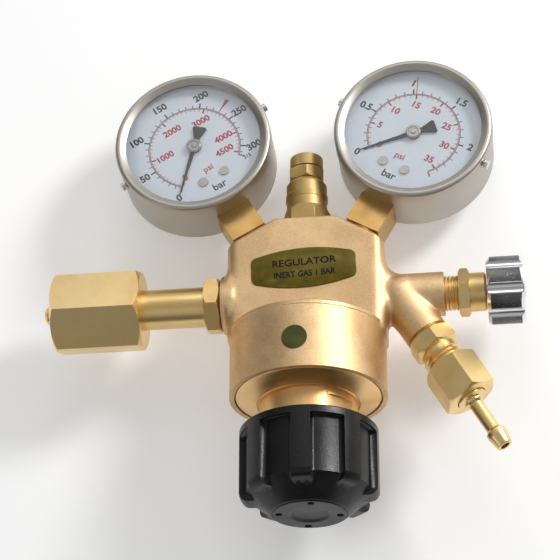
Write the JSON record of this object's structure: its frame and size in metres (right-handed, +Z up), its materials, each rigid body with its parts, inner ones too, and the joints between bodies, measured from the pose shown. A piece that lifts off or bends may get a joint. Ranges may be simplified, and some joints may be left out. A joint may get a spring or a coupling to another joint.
{
  "type": "gas pressure regulator",
  "caption": "Gas-cylinder pressure regulator with a brass body, two dial gauges, relief valve, ribbed adjusting knob, inlet swivel nut, shut-off valve and hose tail.",
  "frame": {"origin": "on the axis of the inlet nipple nose, in its sealing plane 3 mm behind the tip", "axes": "+X runs along the inlet towards the outlet valve, +Z is up as the regulator lies on its back, and +Y is the side of the gauges; the port plane is tipped back about X so that the gauge backs and the spring housing rest on one level"},
  "size_m": [0.2049, 0.2053, 0.0746],
  "materials": {
    "cast_brass": "blasted, satin",
    "turned_brass": "turned, bright",
    "movement_brass": "stamped, satin",
    "black_plastic": "moulded, satin",
    "chrome": "polished",
    "gauge_steel": "satin",
    "window_glass": "clear",
    "dial_face": "matt print",
    "pointer_black": "matt",
    "rubber": "moulded",
    "seat_plastic": "natural nylon",
    "red_fibre": "fibre",
    "sintered_bronze": "sintered",
    "plate_olive": "printed foil",
    "label_green": "printed foil",
    "spring_steel": "wire",
    "bright_steel": "turned"
  },
  "bodies": {
    "regulator": {"regulator_body": "cast_brass", "bonnet": "turned_brass", "diaphragm": "rubber", "slip_ring": "turned_brass", "main_spring": "spring_steel", "seat_nozzle": "turned_brass", "seat_spring": "spring_steel", "inlet_filter": "sintered_bronze", "inlet_nipple": "turned_brass", "inlet_gasket": "red_fibre", "relief_body": "turned_brass", "relief_spring": "spring_steel", "relief_lock_ring": "turned_brass", "relief_cap": "turned_brass", "valve_body": "turned_brass", "spindle_seal": "rubber", "outlet_adapter": "turned_brass", "union_nut": "turned_brass", "hose_tail": "turned_brass", "name_plate": "plate_olive", "round_label": "label_green", "gauge_dial_screws": "movement_brass", "gauge_bezel_screws": "gauge_steel", "gauge_blowout_plugs": "rubber", "gauge_window_seals": "rubber", "gauge_bourdon_tubes": "movement_brass", "gauge_hairsprings": "spring_steel", "inlet_gauge_case": "gauge_steel", "inlet_gauge_bezel": "gauge_steel", "inlet_gauge_window": "window_glass", "inlet_gauge_dial": "dial_face", "inlet_gauge_socket": "turned_brass", "inlet_gauge_frame": "movement_brass", "outlet_gauge_case": "gauge_steel", "outlet_gauge_bezel": "gauge_steel", "outlet_gauge_window": "window_glass", "outlet_gauge_dial": "dial_face", "outlet_gauge_socket": "turned_brass", "outlet_gauge_frame": "movement_brass"},
    "spring_carriage": {"spring_button": "bright_steel"},
    "pressure_knob": {"knob": "black_plastic", "knob_cap": "black_plastic", "adjusting_screw": "bright_steel"},
    "diaphragm_stack": {"diaphragm_plate": "bright_steel"},
    "seat_stem": {"seat_valve": "bright_steel", "seat_disc": "seat_plastic"},
    "relief_piston": {"relief_disc": "rubber"},
    "valve_plunger": {"valve_disc": "seat_plastic"},
    "valve_handle": {"valve_spindle": "bright_steel", "valve_knob": "chrome", "valve_knob_screw": "bright_steel"},
    "swivel_nut": {"inlet_nut": "turned_brass"},
    "inlet_hand": {"inlet_gauge_pointer": "pointer_black", "inlet_gauge_pinion": "movement_brass"},
    "inlet_sector": {"inlet_gauge_sector": "movement_brass"},
    "inlet_link": {"inlet_gauge_link": "movement_brass"},
    "outlet_hand": {"outlet_gauge_pointer": "pointer_black", "outlet_gauge_pinion": "movement_brass"},
    "outlet_sector": {"outlet_gauge_sector": "movement_brass"},
    "outlet_link": {"outlet_gauge_link": "movement_brass"}
  },
  "joints": [
    {"name": "knob_advance", "type": "slide", "parent": "regulator", "child": "spring_carriage", "axis": [0, 0.9804, -0.197], "range_m": [0, 0.0075], "deforming": ["main_spring"]},
    {"name": "knob_turn", "type": "hinge", "parent": "spring_carriage", "child": "pressure_knob", "pos_m": [0.1101, 0, 0], "axis": [0, 0.9804, -0.197], "range_deg": [0, 1800]},
    {"name": "diaphragm_stroke", "type": "slide", "parent": "regulator", "child": "diaphragm_stack", "axis": [0, 0.9804, -0.197], "range_m": [0, 0.0008], "stiffness_N_per_m": 600, "springref_m": -0.001, "deforming": ["diaphragm"]},
    {"name": "seat_lift", "type": "slide", "parent": "regulator", "child": "seat_stem", "axis": [0, 0.9804, -0.197], "range_m": [0, 0.0008], "deforming": ["seat_spring"]},
    {"name": "relief_opening", "type": "slide", "parent": "regulator", "child": "relief_piston", "axis": [0, 0.9804, -0.197], "range_m": [0, 0.002], "stiffness_N_per_m": 400, "springref_m": -0.002, "deforming": ["relief_spring"]},
    {"name": "valve_travel", "type": "slide", "parent": "regulator", "child": "valve_plunger", "axis": [1, 0, 0], "range_m": [0, 0.003]},
    {"name": "valve_turn", "type": "hinge", "parent": "valve_plunger", "child": "valve_handle", "pos_m": [0.1493, 0, 0], "axis": [1, 0, 0], "range_deg": [0, 1080]},
    {"name": "nut_spin", "type": "hinge", "parent": "regulator", "child": "swivel_nut", "pos_m": [0.0017, 0, 0], "axis": [1, 0, 0], "continuous": true},
    {"name": "inlet_pointer_turn", "type": "hinge", "parent": "regulator", "child": "inlet_hand", "pos_m": [0.06225, 0.0706, -0.01419], "axis": [0, -0.197, -0.9804], "range_deg": [0, 270], "stiffness_Nm_per_rad": 0.0001, "springref_deg": -11.46, "deforming": ["gauge_hairsprings"]},
    {"name": "inlet_sector_turn", "type": "hinge", "parent": "regulator", "child": "inlet_sector", "pos_m": [0.07035, 0.05684, -0.01142], "axis": [0, 0.197, 0.9804], "range_deg": [0, 33.75]},
    {"name": "inlet_link_turn", "type": "hinge", "parent": "inlet_sector", "child": "inlet_link", "pos_m": [0.06449, 0.05309, -0.01067], "axis": [0, -0.197, -0.9804], "range_deg": [0, 33.75]},
    {"name": "outlet_pointer_turn", "type": "hinge", "parent": "regulator", "child": "outlet_hand", "pos_m": [0.15795, 0.0706, -0.01419], "axis": [0, -0.197, -0.9804], "range_deg": [0, 270], "stiffness_Nm_per_rad": 0.0001, "springref_deg": -11.46},
    {"name": "outlet_sector_turn", "type": "hinge", "parent": "regulator", "child": "outlet_sector", "pos_m": [0.14985, 0.05684, -0.01142], "axis": [0, 0.197, 0.9804], "range_deg": [0, 33.75]},
    {"name": "outlet_link_turn", "type": "hinge", "parent": "outlet_sector", "child": "outlet_link", "pos_m": [0.14361, 0.05994, -0.01205], "axis": [0, -0.197, -0.9804], "range_deg": [0, 33.75]}
  ],
  "couplings": [
    {"joint": "knob_advance", "follows": "knob_turn", "m_per_rad": 0.00023873},
    {"joint": "valve_travel", "follows": "valve_turn", "m_per_rad": 0.00015915},
    {"joint": "seat_lift", "follows": "diaphragm_stroke", "ratio": 1},
    {"joint": "inlet_sector_turn", "follows": "inlet_pointer_turn", "ratio": 0.125},
    {"joint": "inlet_link_turn", "follows": "inlet_pointer_turn", "ratio": 0.125},
    {"joint": "outlet_sector_turn", "follows": "outlet_pointer_turn", "ratio": 0.125},
    {"joint": "outlet_link_turn", "follows": "outlet_pointer_turn", "ratio": 0.125}
  ]
}
